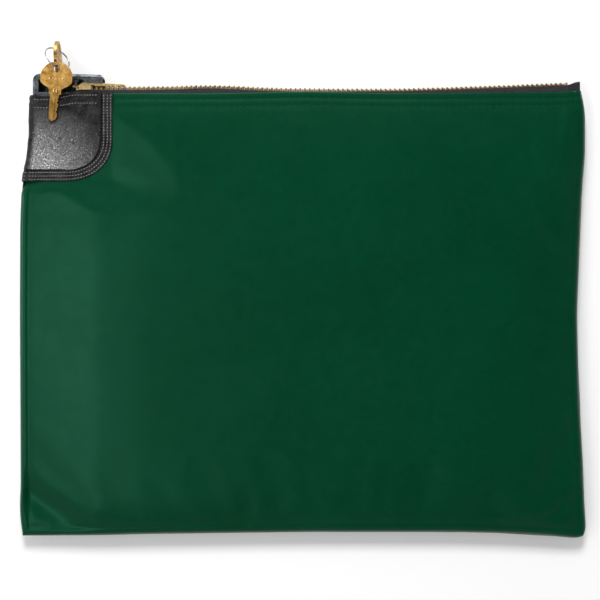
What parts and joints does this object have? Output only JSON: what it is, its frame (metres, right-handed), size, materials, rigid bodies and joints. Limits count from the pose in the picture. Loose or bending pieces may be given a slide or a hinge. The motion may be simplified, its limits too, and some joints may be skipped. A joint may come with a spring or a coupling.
{
  "type": "cash deposit bag",
  "caption": "Zipped cloth pouch with a leather lock corner, a pop-up key lock over the slider, and keys on a wire ring.",
  "frame": {"origin": "middle of the back panel's flat outer face, which lies on the table", "axes": "+X along the zipper away from the lock, +Y from the bottom seam up to the zipper, +Z out of the front panel"},
  "size_m": [0.3715, 0.3263, 0.0247],
  "materials": {
    "cloth": "dark green laminated woven nylon, satin",
    "binding": "black woven binding",
    "leather": "black grained leather, satin",
    "zipper_tape": "black woven tape",
    "zipper_brass": "polished brass",
    "case_metal": "antique nickel, lightly pitted casting",
    "steel": "satin",
    "lock_brass": "satin brass",
    "key_brass": "tumbled brass",
    "ring_wire": "nickel-plated wire"
  },
  "bodies": {
    "bag": {"front_panel": "cloth", "back_panel": "cloth", "left_seam_tape": "binding", "right_seam_tape": "binding", "bottom_seam_tape": "binding", "leather_corner": "leather", "zipper_tape_front": "zipper_tape", "zipper_tape_back": "zipper_tape", "zipper_teeth_front": "zipper_brass", "zipper_teeth_back": "zipper_brass", "zipper_top_stops": "zipper_brass", "zipper_end_stop": "zipper_brass", "lock_case": "case_metal", "lock_cover": "case_metal", "cover_screws": "steel", "popup_spring": "steel", "latch_spring": "steel"},
    "slider": {"slider_body": "zipper_brass", "slider_crown": "zipper_brass"},
    "pull": {"pull_tab": "zipper_brass"},
    "barrel": {"lock_barrel": "steel", "bolt_arm": "steel", "bolt_pin": "steel"},
    "plug": {"lock_plug": "lock_brass", "wafers": "lock_brass", "wafer_springs": "steel", "plug_cam": "lock_brass", "plug_clip": "steel"},
    "key": {"lock_key": "key_brass"},
    "ring": {"key_ring": "ring_wire"},
    "spare": {"spare_key": "key_brass"},
    "latch": {"barrel_latch": "steel"}
  },
  "joints": [
    {"name": "zip_slide", "type": "slide", "parent": "bag", "child": "slider", "axis": [1, 0, 0], "range_m": [0, 0.309], "deforming": ["zipper_teeth_front", "zipper_teeth_back"]},
    {"name": "pull_hinge", "type": "hinge", "parent": "slider", "child": "pull", "pos_m": [-0.1447, 0.15062, 0.011], "axis": [0, 0, 1], "range_deg": [0, 10]},
    {"name": "barrel_pop", "type": "slide", "parent": "bag", "child": "barrel", "axis": [0, -1, 0], "range_m": [0, 0.0024], "stiffness_N_per_m": 500, "springref_m": -0.003, "deforming": ["popup_spring"]},
    {"name": "plug_turn", "type": "hinge", "parent": "barrel", "child": "plug", "pos_m": [-0.1618, 0.15, 0.011], "axis": [0, 1, 0], "range_deg": [0, 45]},
    {"name": "key_out", "type": "slide", "parent": "plug", "child": "key", "axis": [0, 1, 0], "range_m": [0, 0.02]},
    {"name": "ring_turn", "type": "hinge", "parent": "key", "child": "ring", "pos_m": [-0.1618, 0.166, 0.011], "axis": [0, 1, 0], "range_deg": [-45, 0]},
    {"name": "spare_swing", "type": "hinge", "parent": "ring", "child": "spare", "pos_m": [-0.16012, 0.15935, 0.02203], "axis": [0, 0, 1], "range_deg": [-10, 45]},
    {"name": "latch_draw", "type": "slide", "parent": "bag", "child": "latch", "axis": [1, 0, 0], "range_m": [0, 0.0015], "deforming": ["latch_spring"]}
  ],
  "couplings": [
    {"joint": "ring_turn", "follows": "plug_turn", "ratio": -1},
    {"joint": "latch_draw", "follows": "plug_turn", "m_per_rad": 0.0019098}
  ]
}
